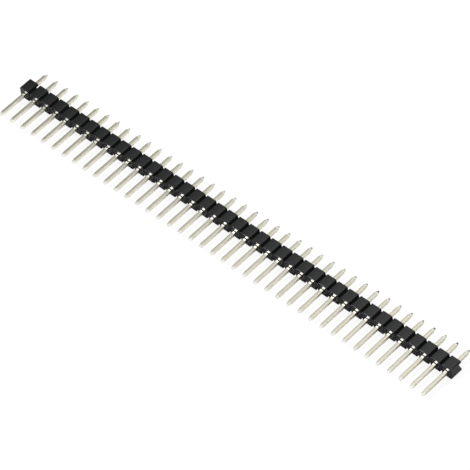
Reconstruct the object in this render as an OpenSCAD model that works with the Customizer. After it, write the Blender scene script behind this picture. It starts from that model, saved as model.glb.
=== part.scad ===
// Breakaway pin header: one row of square posts held in a notched insulator strip.
//
// The strip lies on a side face, as it comes to rest on a bench. X runs along the row,
// +Y points along the solder tails, -Y along the mating ends, and +Z is up. The origin is
// at the middle of the part's outline in X and Y, on the surface that the strip lies on.

/* [Row] */
// Number of posts in the strip
pin_count = 40; // [2:1:50]
// Distance from one post to the next
pitch = 2.54; // [2:0.02:4]

/* [Insulator] */
// Thickness of the insulator along the posts
body_depth = 2.55; // [1.5:0.05:5]
// Width of the insulator across the row, between its two side faces
body_width = 2.5; // [2:0.05:4]
// Width of the V-notch between two cells, where it opens on a side face
notch_mouth = 0.66; // [0.3:0.02:1.2]
// Depth of the V-notch below a side face
notch_depth = 0.5; // [0.2:0.02:0.7]
// Width of the break line across a web, where it opens on a post face
groove_mouth = 0.44; // [0.1:0.02:0.6]
// Depth of the break line below a post face
groove_depth = 0.16; // [0.05:0.01:0.4]

/* [Posts] */
// Side of the square wire
pin_size = 0.64; // [0.4:0.02:0.8]
// Length of the mating end, from the insulator to the tip
mating_length = 6.2; // [2:0.05:20]
// Length of the solder tail, from the insulator to the tip
tail_length = 3.25; // [2:0.05:10]
// Length of the four-sided point on the mating end
mating_point = 0.6; // [0.2:0.05:1]
// Side of the square flat left at the mating end's tip
mating_tip = 0.46; // [0.1:0.02:0.5]
// Length of the four-sided point on the solder tail
tail_point = 0.75; // [0.2:0.05:1]
// Side of the square flat left at the solder tail's tip
tail_tip = 0.28; // [0.1:0.02:0.4]
// Clearance between a post and its hole, on each side
pin_clearance = 0.01; // [0:0.005:0.05]

/* [Snapped webs] */
// Length lost from each end of the strip, where it was snapped off inside the web
end_trim = 0.14; // [0:0.01:0.2]
// Depth of a chip in a web's tail side, along the posts
chip_depth = 0.6; // [0.1:0.05:1]
// Width of a chip where it opens on the tail side, along the row
chip_width = 0.78; // [0.4:0.02:0.8]
// Width of a chip at its deepest, along the row
chip_floor = 0.22; // [0.05:0.01:0.35]
// Height that a chip reaches above the bottom of the V-notch
chip_rise = 0.2; // [0:0.01:0.3]

/* [Hidden] */
strip_length = pin_count * pitch;
pin_length = mating_length + body_depth + tail_length;
pin_height = body_width / 2;
// The posts reach further than the insulator both ways, so they centre the outline.
body_front = mating_length - pin_length / 2;
body_rear = body_front + body_depth;
hole_size = pin_size + 2 * pin_clearance;
web_top = body_width - notch_depth;
chip_top = web_top + chip_rise;
// Cutters run this far past the faces that they open.
overrun = 1;

function pin_name(number) = str("pin_", number < 10 ? "0" : "", number);
function pin_x(number) = (number - 0.5) * pitch - strip_length / 2;

// One edge of the strip's outline, from -X to +X: flat over each cell, and down to a
// point at each web. level is the flat's height, and depth counts towards the middle.
function notched_edge(level, depth, mouth) = [
    [-strip_length / 2, level - depth],
    for (number = [1 : pin_count]) each [
        [pin_x(number) - (pitch - mouth) / 2, level],
        [pin_x(number) + (pitch - mouth) / 2, level],
        [pin_x(number) + pitch / 2, level - depth]
    ]
];

function reversed(points) = [for (i = [len(points) - 1 : -1 : 0]) points[i]];

// The outline between two notched edges that mirror each other.
module notched_outline(low, high, depth, mouth) {
    polygon(concat(
        notched_edge(high, depth, mouth),
        reversed(notched_edge(low, -depth, mouth))
    ));
}

// Seen along the posts, each cell is an eight-sided block joined to the next by a web.
module cell_row() {
    translate([0, body_rear, 0])
        rotate([90, 0, 0])
            linear_extrude(body_depth)
                notched_outline(0, body_width, notch_depth, notch_mouth);
}

// Seen from the side, a shallow break line crosses each web on both post faces.
module break_lines() {
    translate([0, 0, -overrun])
        linear_extrude(body_width + 2 * overrun)
            notched_outline(body_front, body_rear, groove_depth, groove_mouth);
}

module post_hole() {
    translate([0, (body_front + body_rear) / 2, pin_height])
        cube([hole_size, body_depth + 2 * overrun, hole_size], center = true);
}

// A chip in the tail side of the web after the cell with that number, on that cell's
// side. It widens towards the tails, and runs out at the web's low edge.
module chip(number) {
    translate([pin_x(number) + pitch / 2, body_rear, 0])
        intersection() {
            linear_extrude(chip_top)
                polygon([
                    [0, -chip_depth], [0, overrun], [-chip_width, overrun],
                    [-chip_width, 0], [-chip_floor, -chip_depth]
                ]);
            rotate([90, 0, 90])
                linear_extrude(2 * chip_width, center = true)
                    polygon([
                        [-chip_depth, web_top], [0, notch_depth], [overrun, notch_depth],
                        [overrun, chip_top + overrun], [-chip_depth, chip_top + overrun]
                    ]);
        }
}

// The strip was snapped off a little inside its outer webs.
module trimmed_length() {
    length = strip_length - 2 * end_trim;
    translate([-length / 2, body_front - overrun, -overrun])
        cube([length, body_depth + 2 * overrun, body_width + 2 * overrun]);
}

module housing() {
    color("#26282a")
        difference() {
            intersection() {
                cell_row();
                break_lines();
                trimmed_length();
            }
            for (number = [1 : pin_count])
                translate([pin_x(number), 0, 0])
                    post_hole();
            chip(1);
            chip(pin_count);
        }
}

// A post's outline, the same from above and from the side.
module post_outline() {
    wide = pin_size / 2;
    end = pin_length / 2;
    mating_shoulder = mating_point - end;
    tail_shoulder = end - tail_point;
    polygon([
        [-mating_tip / 2, -end], [mating_tip / 2, -end],
        [wide, mating_shoulder], [wide, tail_shoulder],
        [tail_tip / 2, end], [-tail_tip / 2, end],
        [-wide, tail_shoulder], [-wide, mating_shoulder]
    ]);
}

module pin(number) {
    color("#cfcbb4")
        translate([pin_x(number), 0, pin_height])
            intersection() {
                linear_extrude(pin_size, center = true)
                    post_outline();
                rotate([0, 90, 0])
                    linear_extrude(pin_size, center = true)
                        post_outline();
            }
}

housing();
for (number = [1 : pin_count])
    pin(number);
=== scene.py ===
"""Breakaway pin header: a notched black insulator strip with a row of square plated posts."""

import math

import bmesh
import bpy
from mathutils import Matrix, Vector


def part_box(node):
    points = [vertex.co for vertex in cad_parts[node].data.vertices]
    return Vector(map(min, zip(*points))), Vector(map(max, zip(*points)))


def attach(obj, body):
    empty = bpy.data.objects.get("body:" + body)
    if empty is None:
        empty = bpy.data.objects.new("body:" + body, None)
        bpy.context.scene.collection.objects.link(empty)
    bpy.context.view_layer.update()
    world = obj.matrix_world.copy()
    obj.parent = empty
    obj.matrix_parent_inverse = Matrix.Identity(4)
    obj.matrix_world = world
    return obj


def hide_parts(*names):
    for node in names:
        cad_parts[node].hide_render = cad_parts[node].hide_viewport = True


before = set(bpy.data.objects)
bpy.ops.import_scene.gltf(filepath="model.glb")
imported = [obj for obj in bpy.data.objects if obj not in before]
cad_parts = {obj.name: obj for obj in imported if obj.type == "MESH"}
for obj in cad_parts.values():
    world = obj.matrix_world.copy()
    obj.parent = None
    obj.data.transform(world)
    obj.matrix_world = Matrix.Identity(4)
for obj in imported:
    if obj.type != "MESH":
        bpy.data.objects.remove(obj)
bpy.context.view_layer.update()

# Shapes are made in millimetres and brought to metres at the end.
MM = 0.001

# Width of each edge rounding, in millimetres: the insulator's edges and the wire's corners.
CELL_EDGE = 0.06
WIRE_EDGE = 0.07

# Width of the chamfer round each hole, on the insulator's two post faces, in millimetres.
FRONT_MOUTH = 0.20
REAR_MOUTH = 0.12

# The post's four-sided points, in millimetres: each one's length and its tip's side.
MATING_POINT, MATING_TIP = 0.6, 0.46
TAIL_POINT, TAIL_TIP = 0.75, 0.28

# Length of the greyed tip on each solder tail, in millimetres.
DULL_TIP = 0.5

# The insulator's corners are told apart by where they lie, in millimetres. A hole's lie
# within HOLE_REACH of the wire, and a snapped end's within END_REACH of the strip's end.
# A chip's lie within CHIP_REACH of its web's middle and CHIP_DEPTH of the rear face.
HOLE_REACH = 0.02
END_REACH = 0.01
CHIP_REACH = 0.85
CHIP_DEPTH = 0.65

# CAD corners closer than this are one corner, in millimetres, and CAD faces that meet at
# less than this angle are one face.
SAME_PLACE = 0.001
SAME_FACE = math.radians(1)

# Outer edges that turn by more than this are rounded.
ROUNDED = math.radians(15)

# Faces that meet at more than this angle show a crisp edge.
SHARP = math.radians(40)

# A face of the insulator whose normal leans along the posts by more than this belongs to
# the two post faces. These take a copy of the plastic with weaker reflections, a painted
# shade: it darkens them as if the floor that they mirror lay in shadow.
POST_FACE = 0.78

# Distance over which one surface finish runs into the next, in metres: at the snapped
# ends and the posts' points, and at the greyed tips.
EDGE_BLUR = 0.00002
TIP_BLUR = 0.0003

# How far each cell's faces fall away at the webs, in heights of the plastic's grain.
CROWN = 5

POSTS = sorted(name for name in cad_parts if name.startswith("pin_"))


# ---------------------------------------------------------------- shapes


def in_mm(node):
    """A CAD node's box, in millimetres."""
    low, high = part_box(node)
    return low / MM, high / MM


def finished_piece(name, bm, replaced, materials):
    """Turns a bmesh in millimetres into a smooth piece that stands for CAD nodes."""
    bmesh.ops.scale(bm, vec=(MM, MM, MM), verts=bm.verts)
    for face in bm.faces:
        face.smooth = True
    for edge in bm.edges:
        edge.smooth = edge.calc_face_angle() < SHARP
    mesh = bpy.data.meshes.new(name)
    bm.to_mesh(mesh)
    bm.free()
    piece = bpy.data.objects.new(name, mesh)
    bpy.context.scene.collection.objects.link(piece)
    for material in materials:
        mesh.materials.append(material)
    even = piece.modifiers.new("even shading", "WEIGHTED_NORMAL")
    even.weight = 100
    even.keep_sharp = True
    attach(piece, "root")
    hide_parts(*replaced)
    return piece


def round_edges(bm, edges, width, segments):
    bmesh.ops.bevel(
        bm, geom=edges, offset=width, segments=segments, profile=0.5,
        affect="EDGES", clamp_overlap=False, material=-1,
    )


def insulator(side_plastic, shaded_face_plastic):
    """The strip with its moulded edges rounded. Snapped and chipped edges stay sharp."""
    bm = bmesh.new()
    bm.from_mesh(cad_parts["housing"].data)
    bmesh.ops.scale(bm, vec=(1 / MM,) * 3, verts=bm.verts)
    bmesh.ops.remove_doubles(bm, verts=bm.verts, dist=SAME_PLACE)
    bmesh.ops.dissolve_limit(bm, angle_limit=SAME_FACE, verts=bm.verts, edges=bm.edges)
    low, high = in_mm("housing")
    pins = [in_mm(name) for name in POSTS]
    centres = [(a.x + b.x) / 2 for a, b in pins]
    half_hole = (pins[0][1].x - pins[0][0].x) / 2 + HOLE_REACH
    height = (low.z + high.z) / 2
    half_pitch = (centres[1] - centres[0]) / 2
    chipped_webs = [centres[0] + half_pitch, centres[-1] + half_pitch]

    def at_hole(vertex):
        x = min(abs(vertex.co.x - c) for c in centres)
        return x < half_hole and abs(vertex.co.z - height) < half_hole

    def broken(vertex):
        if min(vertex.co.x - low.x, high.x - vertex.co.x) < END_REACH:
            return True
        near = min(abs(vertex.co.x - web) for web in chipped_webs)
        return near < CHIP_REACH and vertex.co.y > high.y - CHIP_DEPTH

    moulded, front_mouths, rear_mouths = [], [], []
    for edge in bm.edges:
        if edge.calc_face_angle_signed() < ROUNDED:
            continue
        if all(at_hole(v) for v in edge.verts):
            at_front = edge.verts[0].co.y < (low.y + high.y) / 2
            (front_mouths if at_front else rear_mouths).append(edge)
        elif not any(broken(v) for v in edge.verts):
            moulded.append(edge)
    for edges, width, segments in (
        (front_mouths, FRONT_MOUTH, 1), (rear_mouths, REAR_MOUTH, 1), (moulded, CELL_EDGE, 3)
    ):
        round_edges(bm, [e for e in edges if e.is_valid], width, segments)
    bm.normal_update()
    # The post faces get the second plastic, whose weaker reflections are painted shade.
    for face in bm.faces:
        face.material_index = int(abs(face.normal.y) > POST_FACE)
    return finished_piece(
        "insulator", bm, ["housing"], [side_plastic, shaded_face_plastic]
    )


def post(node, number, material):
    """A length of square wire with rounded corners and a four-sided point at each end."""
    low, high = in_mm(node)
    size, middle = high - low, (low + high) / 2
    bm = bmesh.new()
    bmesh.ops.create_cube(bm, size=1)
    bmesh.ops.scale(bm, vec=size, verts=bm.verts)
    for side, length, tip in ((-1, MATING_POINT, MATING_TIP), (1, TAIL_POINT, TAIL_TIP)):
        bmesh.ops.bisect_plane(
            bm, geom=[*bm.verts, *bm.edges, *bm.faces],
            plane_co=(0, side * (size.y / 2 - length), 0), plane_no=(0, 1, 0),
        )
        tips = [v for v in bm.verts if side * v.co.y > (size.y - length) / 2]
        bmesh.ops.scale(bm, vec=(tip / size.x, 1, tip / size.z), verts=tips)
    corners = [
        e for e in bm.edges
        if abs(e.verts[0].co.y - e.verts[1].co.y) > min(MATING_POINT, TAIL_POINT) / 2
    ]
    round_edges(bm, corners, WIRE_EDGE, 3)
    bmesh.ops.translate(bm, vec=middle, verts=bm.verts)
    return finished_piece(f"post_{number:02d}", bm, [node], [material])


# ---------------------------------------------------------------- node helpers


def feed(tree, socket, value):
    """Links an output to a socket, or gives the socket a plain value."""
    if isinstance(value, bpy.types.NodeSocket):
        tree.links.new(value, socket)
    else:
        socket.default_value = value


def coordinates(tree, kind="Object"):
    return tree.nodes.new("ShaderNodeTexCoord").outputs[kind]


def split(tree, vector):
    """The X, Y and Z outputs of a vector."""
    parts = tree.nodes.new("ShaderNodeSeparateXYZ")
    feed(tree, parts.inputs["Vector"], vector)
    return parts.outputs


def calculate(tree, operation, *values):
    """One step of arithmetic on outputs or plain numbers."""
    step = tree.nodes.new("ShaderNodeMath")
    step.operation = operation
    for socket, value in zip(step.inputs, values):
        feed(tree, socket, value)
    return step.outputs["Value"]


def ramp(tree, value, start, end, low=0, high=1):
    """Runs from low to high while a value runs from start to end, and stays level beyond."""
    change = tree.nodes.new("ShaderNodeMapRange")
    feed(tree, change.inputs["Value"], value)
    feed(tree, change.inputs["From Min"], start)
    feed(tree, change.inputs["From Max"], end)
    feed(tree, change.inputs["To Min"], low)
    feed(tree, change.inputs["To Max"], high)
    return change.outputs["Result"]


def blend(tree, kind, amount, before, after):
    """Mixes two numbers, with the kind FLOAT, or two colours, with the kind RGBA."""
    mix = tree.nodes.new("ShaderNodeMix")
    mix.data_type = kind
    feed(tree, mix.inputs["Factor"], amount)
    feed(tree, mix.inputs["A"], before)
    feed(tree, mix.inputs["B"], after)
    return mix.outputs["Result"]


# ---------------------------------------------------------------- finishes


def new_material(name):
    """A material, with its node tree and its Principled shader."""
    material = bpy.data.materials.new(name)
    material.use_nodes = True
    return material, material.node_tree, material.node_tree.nodes["Principled BSDF"]


def new_group(name, inputs, outputs):
    """A shader node group. inputs gives (name, socket type, value), outputs (name, type)."""
    tree = bpy.data.node_groups.new(name, "ShaderNodeTree")
    for label, kind, value in inputs:
        socket = tree.interface.new_socket(label, in_out="INPUT", socket_type=kind)
        socket.default_value = value
    for label, kind in outputs:
        tree.interface.new_socket(label, in_out="OUTPUT", socket_type=kind)
    return tree, tree.nodes.new("NodeGroupInput"), tree.nodes.new("NodeGroupOutput")


def fine_grain():
    """Uneven tone, roughness and height, at a chosen size and stretch."""
    tree, start, end = new_group(
        "fine grain",
        [
            ("Stretch", "NodeSocketVector", (1, 1, 1)),
            ("Grain per metre", "NodeSocketFloat", 6000.0),
            ("Patches per metre", "NodeSocketFloat", 400.0),
            ("Dark", "NodeSocketColor", (0.01, 0.01, 0.01, 1)),
            ("Light", "NodeSocketColor", (0.03, 0.03, 0.03, 1)),
            ("Smoothest", "NodeSocketFloat", 0.25),
            ("Roughest", "NodeSocketFloat", 0.45),
        ],
        [
            ("Colour", "NodeSocketColor"),
            ("Roughness", "NodeSocketFloat"),
            ("Height", "NodeSocketFloat"),
        ],
    )
    given = start.outputs
    stretch = tree.nodes.new("ShaderNodeVectorMath")
    stretch.operation = "MULTIPLY"
    feed(tree, stretch.inputs[0], coordinates(tree))
    feed(tree, stretch.inputs[1], given["Stretch"])

    def noise(scale, detail):
        texture = tree.nodes.new("ShaderNodeTexNoise")
        feed(tree, texture.inputs["Vector"], stretch.outputs["Vector"])
        feed(tree, texture.inputs["Scale"], scale)
        feed(tree, texture.inputs["Detail"], detail)
        return texture.outputs["Fac"]

    grain = noise(given["Grain per metre"], detail=3)
    patches = noise(given["Patches per metre"], detail=2)
    tone = blend(tree, "RGBA", patches, given["Dark"], given["Light"])
    roughness = ramp(tree, grain, 0, 1, given["Smoothest"], given["Roughest"])
    feed(tree, end.inputs["Colour"], tone)
    feed(tree, end.inputs["Roughness"], roughness)
    feed(tree, end.inputs["Height"], grain)
    return tree


def grained_material(name, grain, values, bump):
    """A material with the grain's tone, roughness and relief, and its shader's inputs.

    bump is the relief's height, in metres.
    """
    material, tree, shader = new_material(name)
    surface = tree.nodes.new("ShaderNodeGroup")
    surface.node_tree = grain
    for label, value in values.items():
        feed(tree, surface.inputs[label], value)
    relief = tree.nodes.new("ShaderNodeBump")
    feed(tree, relief.inputs["Strength"], 0.5)
    feed(tree, relief.inputs["Distance"], bump)
    feed(tree, relief.inputs["Height"], surface.outputs["Height"])
    feed(tree, shader.inputs["Base Color"], surface.outputs["Colour"])
    feed(tree, shader.inputs["Roughness"], surface.outputs["Roughness"])
    feed(tree, shader.inputs["Normal"], relief.outputs["Normal"])
    return material, shader.inputs


def change_beyond(tree, axis, reach, socket, value):
    """Turns a socket to another value further than reach from the middle, in metres."""
    away = calculate(tree, "ABSOLUTE", split(tree, coordinates(tree))[axis])
    beyond = ramp(tree, away, reach, reach + EDGE_BLUR)
    kind = "RGBA" if socket.type == "RGBA" else "FLOAT"
    feed(tree, socket, blend(tree, kind, beyond, socket.links[0].from_socket, value))


def crown_cells(tree, normal, pitch):
    """Bows each cell's faces very slightly outwards, as moulding leaves them."""
    height = normal.links[0].from_node.inputs["Height"]
    half_cell = 0.5
    cells = calculate(tree, "DIVIDE", split(tree, coordinates(tree))["X"], pitch)
    away = calculate(tree, "SUBTRACT", calculate(tree, "FRACT", cells), half_cell)
    squared = calculate(tree, "MULTIPLY", away, away)
    fall = -CROWN / half_cell ** 2
    before = height.links[0].from_socket
    feed(tree, height, calculate(tree, "MULTIPLY_ADD", squared, fall, before))


def black_plastic(name, grain, snapped_at, pitch, shine):
    """Moulded black plastic, rougher where the strip was snapped off."""
    material, surface = grained_material(
        name, grain,
        {
            "Grain per metre": 9000.0, "Patches per metre": 350.0,
            "Dark": (0.0032, 0.0036, 0.0038, 1), "Light": (0.006, 0.0067, 0.007, 1),
            "Smoothest": 0.10, "Roughest": 0.20,
        },
        bump=0.000004,
    )
    tree = material.node_tree
    feed(tree, surface["Specular IOR Level"], shine)
    crown_cells(tree, surface["Normal"], pitch)
    snapped_roughness = 0.55
    change_beyond(tree, "X", snapped_at, surface["Roughness"], snapped_roughness)
    return material


def dull_tail_tips(tree, colour, reach):
    """Greys the sheared tips of the solder tails, most of all towards the row's +X end."""
    sheared_metal = (0.17, 0.17, 0.16, 1)
    place = split(tree, coordinates(tree))
    at_tip = ramp(tree, place["Y"], reach, reach + TIP_BLUR)
    per_post = tree.nodes.new("ShaderNodeTexNoise")
    per_post.noise_dimensions = "1D"
    changes_per_metre, rise_per_metre = 330, 5
    feed(tree, per_post.inputs["Scale"], changes_per_metre)
    feed(tree, per_post.inputs["W"], place["X"])
    wear = calculate(
        tree, "MULTIPLY_ADD", place["X"], rise_per_metre, per_post.outputs["Fac"]
    )
    amount = calculate(tree, "MULTIPLY", at_tip, ramp(tree, wear, start=0.45, end=0.8))
    before = colour.links[0].from_socket
    feed(tree, colour, blend(tree, "RGBA", amount, before, sheared_metal))


def plated_wire(grain, points_at, tips_at):
    """Drawn and plated square wire, paler and rougher on its points, with sheared tails."""
    material, surface = grained_material(
        "pale plated wire", grain,
        {
            "Stretch": (1, 0.06, 1), "Grain per metre": 9000.0,
            "Patches per metre": 900.0,
            "Dark": (0.80, 0.775, 0.62, 1), "Light": (0.91, 0.88, 0.72, 1),
            "Smoothest": 0.13, "Roughest": 0.24,
        },
        bump=0.000003,
    )
    tree = material.node_tree
    feed(tree, surface["Metallic"], 1)
    point_roughness, point_colour = 0.27, (0.95, 0.94, 0.86, 1)
    change_beyond(tree, "Y", points_at, surface["Roughness"], point_roughness)
    change_beyond(tree, "Y", points_at, surface["Base Color"], point_colour)
    dull_tail_tips(tree, surface["Base Color"], tips_at)
    return material


# ---------------------------------------------------------------- stage, light, camera


def add_floor(half_side, tone, shadow, glow):
    """A flat pale floor. The camera sees it glow, with only a share of its shadows."""
    bm = bmesh.new()
    bmesh.ops.create_grid(bm, x_segments=1, y_segments=1, size=half_side)
    mesh = bpy.data.meshes.new("floor")
    bm.to_mesh(mesh)
    bm.free()
    floor = bpy.data.objects.new("floor", mesh)
    bpy.context.scene.collection.objects.link(floor)
    material, tree, shader = new_material("pale floor")
    feed(tree, shader.inputs["Base Color"], (tone, tone, tone, 1))
    feed(tree, shader.inputs["Roughness"], 1)
    feed(tree, shader.inputs["Specular IOR Level"], 0)
    soft_shadow = tree.nodes.new("ShaderNodeBsdfDiffuse")
    feed(tree, soft_shadow.inputs["Color"], (shadow, shadow, shadow, 1))
    white = tree.nodes.new("ShaderNodeEmission")
    feed(tree, white.inputs["Strength"], glow)
    pale = tree.nodes.new("ShaderNodeAddShader")
    feed(tree, pale.inputs[0], soft_shadow.outputs["BSDF"])
    feed(tree, pale.inputs[1], white.outputs["Emission"])
    seen = tree.nodes.new("ShaderNodeLightPath")
    by_ray = tree.nodes.new("ShaderNodeMixShader")
    feed(tree, by_ray.inputs["Fac"], seen.outputs["Is Camera Ray"])
    feed(tree, by_ray.inputs[1], shader.outputs["BSDF"])
    feed(tree, by_ray.inputs[2], pale.outputs["Shader"])
    feed(tree, tree.nodes["Material Output"].inputs["Surface"], by_ray.outputs["Shader"])
    mesh.materials.append(material)


def add_panel(name, place, target, size, watts, colour):
    """A square lamp that faces a target, with places and size in metres."""
    lamp = bpy.data.lights.new(name, "AREA")
    lamp.shape, lamp.size, lamp.energy = "SQUARE", size, watts
    lamp.color = colour
    panel = bpy.data.objects.new(name, lamp)
    panel.location = place
    panel.rotation_mode = "QUATERNION"
    panel.rotation_quaternion = (Vector(target) - Vector(place)).to_track_quat("-Z", "Y")
    bpy.context.scene.collection.objects.link(panel)


def add_world(fill, left_wall):
    """A white studio, darker low down and at the back of its left wall.

    Mirrored rays see it as it is. Matt surfaces are lit by fill, from high at the back.
    The camera sees plain white past the floor.
    """
    world = bpy.data.worlds.new("studio")
    bpy.context.scene.world = world
    world.use_nodes = True
    tree = world.node_tree
    background = tree.nodes["Background"]
    feed(tree, background.inputs["Color"], (1, 1, 1, 1))
    direction = coordinates(tree, "Generated")
    towards = split(tree, direction)
    left = ramp(tree, towards["X"], start=-0.54, end=-0.42, low=left_wall)
    front = ramp(tree, towards["Y"], start=0.24, end=0.38, low=0.8, high=0)
    rise = ramp(tree, towards["Z"], start=0.28, end=0.76, low=0.06)
    walls = calculate(tree, "MAXIMUM", left, front)
    studio = calculate(tree, "MULTIPLY", walls, rise)
    high_at_back, dimmest = (-0.15, 0.4, 0.9), 0.02
    lean = tree.nodes.new("ShaderNodeVectorMath")
    lean.operation = "DOT_PRODUCT"
    feed(tree, lean.inputs[0], direction)
    feed(tree, lean.inputs[1], high_at_back)
    nearness = lean.outputs["Value"]
    matt = ramp(tree, nearness, start=0.75, end=0.98, low=dimmest * fill, high=fill)
    seen = tree.nodes.new("ShaderNodeLightPath").outputs
    level = blend(tree, "FLOAT", seen["Is Glossy Ray"], matt, 1)
    light = calculate(tree, "MULTIPLY", studio, level)
    strength = calculate(tree, "MAXIMUM", light, seen["Is Camera Ray"])
    feed(tree, background.inputs["Strength"], strength)


def add_camera():
    """Looks down along the strip from the front and right, slightly rolled."""
    azimuth, elevation, roll = (math.radians(a) for a in (48.7814, 50.0447, -7.8257))
    distance, aside, above = 0.80608, -0.0010938, 0.00089512
    back = Vector((
        math.sin(azimuth) * math.cos(elevation),
        -math.cos(azimuth) * math.cos(elevation),
        math.sin(elevation),
    ))
    right = Vector((math.cos(azimuth), math.sin(azimuth), 0))
    up = back.cross(right)
    right, up = (
        math.cos(roll) * right + math.sin(roll) * up,
        math.cos(roll) * up - math.sin(roll) * right,
    )
    low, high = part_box(POSTS[0])
    target = Vector((0, 0, (low.z + high.z) / 2))
    lens = bpy.data.cameras.new("camera")
    lens.sensor_width, lens.lens = 36, 359.488
    lens.clip_start, lens.clip_end = 0.01, 20
    camera = bpy.data.objects.new("camera", lens)
    camera.matrix_world = Matrix.Translation(
        target - aside * right - above * up + distance * back
    ) @ Matrix((right, up, back)).transposed().to_4x4()
    bpy.context.scene.collection.objects.link(camera)
    bpy.context.scene.camera = camera


bpy.context.scene.view_settings.view_transform = "Standard"
add_camera()
grain = fine_grain()
wire_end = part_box(POSTS[0])[1].y
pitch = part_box(POSTS[1])[0].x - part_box(POSTS[0])[0].x
# The rougher finish has run in fully just short of the snapped faces.
snapped_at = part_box("housing")[1].x - 2 * EDGE_BLUR
insulator(
    black_plastic("moulded black plastic", grain, snapped_at, pitch, shine=0.57),
    # The post faces' copy reflects less: painted shade, as if the floor they mirror lay in
    # shadow.
    black_plastic("post face black plastic with painted shade", grain, snapped_at, pitch, shine=0.2),
)
wire = plated_wire(grain, wire_end - MATING_POINT * MM, wire_end - DULL_TIP * MM)
for number, node in enumerate(POSTS, 1):
    post(node, number, wire)
add_floor(half_side=3, tone=0.86, shadow=0.15, glow=0.88)
add_world(fill=3.3, left_wall=0.18)
add_panel(
    "key panel", place=(-0.398, -0.408, 0.700), target=(0, 0, 0), size=0.22,
    watts=4.5, colour=(0.88, 0.89, 1),
)
